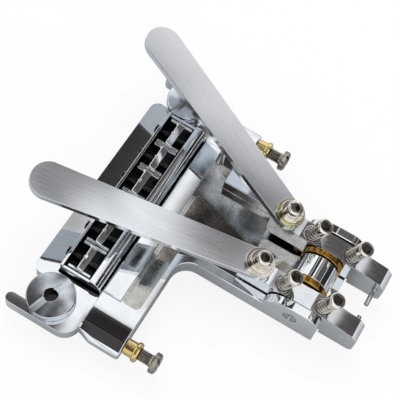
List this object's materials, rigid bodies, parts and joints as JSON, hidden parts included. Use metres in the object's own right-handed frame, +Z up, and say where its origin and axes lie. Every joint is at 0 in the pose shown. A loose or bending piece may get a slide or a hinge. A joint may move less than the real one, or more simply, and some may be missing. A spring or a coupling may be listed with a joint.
{
  "type": "guitar string bender",
  "caption": "Chromed guitar bridge on two studs, with adjustable saddles and palm levers that bend single strings.",
  "frame": {"origin": "on the underside of the base casting, midway between the axes of the two studs", "axes": "+X along the strings towards the tail where the levers turn, +Y to the right along the line of the studs, +Z up away from the guitar's top"},
  "size_m": [0.1074, 0.098, 0.0363],
  "materials": {
    "chrome": "mirror-bright chrome plate",
    "dark_chrome": "bright plated steel in shade",
    "nickel": "nickel-plated steel",
    "zinc": "zinc-plated steel, slightly yellow",
    "brass": "turned brass",
    "steel": "plain steel",
    "spring_steel": "drawn spring wire",
    "brushed_steel": "brushed along its length",
    "aluminium": "polished aluminium"
  },
  "bodies": {
    "base": {"base": "chrome", "rail": "chrome", "axle": "steel", "axle_grub_screw": "steel", "rail_screw_left": "steel", "thrust_washer_left": "brass", "rail_screw_right": "steel", "thrust_washer_right": "brass"},
    "lever_left": {"lever_block_left": "aluminium", "lever_bush_left": "brass", "string_pin_left": "steel", "clamp_washer_left": "zinc", "clamp_spring_washer_left": "nickel", "clamp_screw_left": "nickel", "adjuster_spring_front_left": "spring_steel", "adjuster_spring_rear_left": "spring_steel"},
    "arm_left": {"lever_arm_left": "brushed_steel"},
    "adjuster_front_left": {"adjuster_front_left": "nickel"},
    "adjuster_rear_left": {"adjuster_rear_left": "nickel"},
    "stud_left": {"stud_left": "chrome"},
    "position_screw_left": {"position_screw_left": "nickel"},
    "lock_nut_left": {"lock_nut_left": "brass"},
    "lever_right": {"lever_block_right": "aluminium", "lever_bush_right": "brass", "string_pin_right": "steel", "clamp_washer_right": "zinc", "clamp_spring_washer_right": "nickel", "clamp_screw_right": "nickel", "adjuster_spring_front_right": "spring_steel", "adjuster_spring_rear_right": "spring_steel"},
    "arm_right": {"lever_arm_right": "brushed_steel"},
    "adjuster_front_right": {"adjuster_front_right": "nickel"},
    "adjuster_rear_right": {"adjuster_rear_right": "nickel"},
    "stud_right": {"stud_right": "chrome"},
    "position_screw_right": {"position_screw_right": "nickel"},
    "lock_nut_right": {"lock_nut_right": "brass"},
    "saddle_1": {"saddle_1": "chrome"},
    "intonation_screw_1": {"intonation_screw_1": "dark_chrome"},
    "saddle_2": {"saddle_2": "chrome"},
    "intonation_screw_2": {"intonation_screw_2": "dark_chrome"},
    "saddle_3": {"saddle_3": "chrome"},
    "intonation_screw_3": {"intonation_screw_3": "dark_chrome"},
    "saddle_4": {"saddle_4": "chrome"},
    "intonation_screw_4": {"intonation_screw_4": "dark_chrome"},
    "saddle_5": {"saddle_5": "chrome"},
    "intonation_screw_5": {"intonation_screw_5": "dark_chrome"},
    "saddle_6": {"saddle_6": "chrome"},
    "intonation_screw_6": {"intonation_screw_6": "dark_chrome"}
  },
  "joints": [
    {"name": "lever_turn_left", "type": "hinge", "parent": "base", "child": "lever_left", "pos_m": [0.0645, -0.0018, 0.0072], "axis": [0, -1, 0], "range_deg": [0, 7], "stiffness_Nm_per_rad": 0.06, "springref_deg": -11.46},
    {"name": "arm_swivel_left", "type": "hinge", "parent": "lever_left", "child": "arm_left", "pos_m": [0.0482, -0.0018, 0.01362], "axis": [0.1908, 0, 0.9816], "range_deg": [-10, 10]},
    {"name": "adjuster_front_left_travel", "type": "slide", "parent": "lever_left", "child": "adjuster_front_left", "axis": [0.284, 0, 0.9588], "range_m": [0, 0.002], "deforming": ["adjuster_spring_front_left"]},
    {"name": "adjuster_rear_left_travel", "type": "slide", "parent": "lever_left", "child": "adjuster_rear_left", "axis": [0.284, 0, 0.9588], "range_m": [0, 0.002], "deforming": ["adjuster_spring_rear_left"]},
    {"name": "stud_turn_left", "type": "hinge", "parent": "base", "child": "stud_left", "pos_m": [0, -0.04125, 0], "axis": [0, 0, 1], "continuous": true},
    {"name": "position_screw_travel_left", "type": "slide", "parent": "base", "child": "position_screw_left", "axis": [1, 0, 0], "range_m": [0, 0.003]},
    {"name": "lock_nut_turn_left", "type": "hinge", "parent": "base", "child": "lock_nut_left", "pos_m": [0.03, -0.04125, 0.0029], "axis": [1, 0, 0], "continuous": true},
    {"name": "lever_turn_right", "type": "hinge", "parent": "base", "child": "lever_right", "pos_m": [0.0645, 0.018, 0.0072], "axis": [0, -1, 0], "range_deg": [0, 7], "stiffness_Nm_per_rad": 0.06, "springref_deg": -11.46},
    {"name": "arm_swivel_right", "type": "hinge", "parent": "lever_right", "child": "arm_right", "pos_m": [0.0482, 0.018, 0.01362], "axis": [0.1908, 0, 0.9816], "range_deg": [-10, 10]},
    {"name": "adjuster_front_right_travel", "type": "slide", "parent": "lever_right", "child": "adjuster_front_right", "axis": [0.284, 0, 0.9588], "range_m": [0, 0.002], "deforming": ["adjuster_spring_front_right"]},
    {"name": "adjuster_rear_right_travel", "type": "slide", "parent": "lever_right", "child": "adjuster_rear_right", "axis": [0.284, 0, 0.9588], "range_m": [0, 0.002], "deforming": ["adjuster_spring_rear_right"]},
    {"name": "stud_turn_right", "type": "hinge", "parent": "base", "child": "stud_right", "pos_m": [0, 0.04125, 0], "axis": [0, 0, 1], "continuous": true},
    {"name": "position_screw_travel_right", "type": "slide", "parent": "base", "child": "position_screw_right", "axis": [1, 0, 0], "range_m": [0, 0.003]},
    {"name": "lock_nut_turn_right", "type": "hinge", "parent": "base", "child": "lock_nut_right", "pos_m": [0.03, 0.04125, 0.0029], "axis": [1, 0, 0], "continuous": true},
    {"name": "intonation_turn_1", "type": "hinge", "parent": "base", "child": "intonation_screw_1", "pos_m": [-0.0027, -0.026, 0.007], "axis": [1, 0, 0], "range_deg": [-362, 362]},
    {"name": "saddle_travel_1", "type": "slide", "parent": "base", "child": "saddle_1", "axis": [1, 0, 0], "range_m": [-0.0004, 0.0004]},
    {"name": "intonation_turn_2", "type": "hinge", "parent": "base", "child": "intonation_screw_2", "pos_m": [-0.0027, -0.0156, 0.007], "axis": [1, 0, 0], "range_deg": [-362, 362]},
    {"name": "saddle_travel_2", "type": "slide", "parent": "base", "child": "saddle_2", "axis": [1, 0, 0], "range_m": [-0.0004, 0.0004]},
    {"name": "intonation_turn_3", "type": "hinge", "parent": "base", "child": "intonation_screw_3", "pos_m": [-0.0027, -0.0052, 0.007], "axis": [1, 0, 0], "range_deg": [-362, 362]},
    {"name": "saddle_travel_3", "type": "slide", "parent": "base", "child": "saddle_3", "axis": [1, 0, 0], "range_m": [-0.0004, 0.0004]},
    {"name": "intonation_turn_4", "type": "hinge", "parent": "base", "child": "intonation_screw_4", "pos_m": [-0.0027, 0.0052, 0.007], "axis": [1, 0, 0], "range_deg": [-362, 362]},
    {"name": "saddle_travel_4", "type": "slide", "parent": "base", "child": "saddle_4", "axis": [1, 0, 0], "range_m": [-0.0004, 0.0004]},
    {"name": "intonation_turn_5", "type": "hinge", "parent": "base", "child": "intonation_screw_5", "pos_m": [-0.0027, 0.0156, 0.007], "axis": [1, 0, 0], "range_deg": [-362, 362]},
    {"name": "saddle_travel_5", "type": "slide", "parent": "base", "child": "saddle_5", "axis": [1, 0, 0], "range_m": [-0.0004, 0.0004]},
    {"name": "intonation_turn_6", "type": "hinge", "parent": "base", "child": "intonation_screw_6", "pos_m": [-0.0027, 0.026, 0.007], "axis": [1, 0, 0], "range_deg": [-362, 362]},
    {"name": "saddle_travel_6", "type": "slide", "parent": "base", "child": "saddle_6", "axis": [1, 0, 0], "range_m": [-0.0004, 0.0004]}
  ],
  "couplings": [
    {"joint": "intonation_turn_1", "follows": "saddle_travel_1", "rad_per_m": -15708},
    {"joint": "intonation_turn_2", "follows": "saddle_travel_2", "rad_per_m": -15708},
    {"joint": "intonation_turn_3", "follows": "saddle_travel_3", "rad_per_m": -15708},
    {"joint": "intonation_turn_4", "follows": "saddle_travel_4", "rad_per_m": -15708},
    {"joint": "intonation_turn_5", "follows": "saddle_travel_5", "rad_per_m": -15708},
    {"joint": "intonation_turn_6", "follows": "saddle_travel_6", "rad_per_m": -15708}
  ]
}
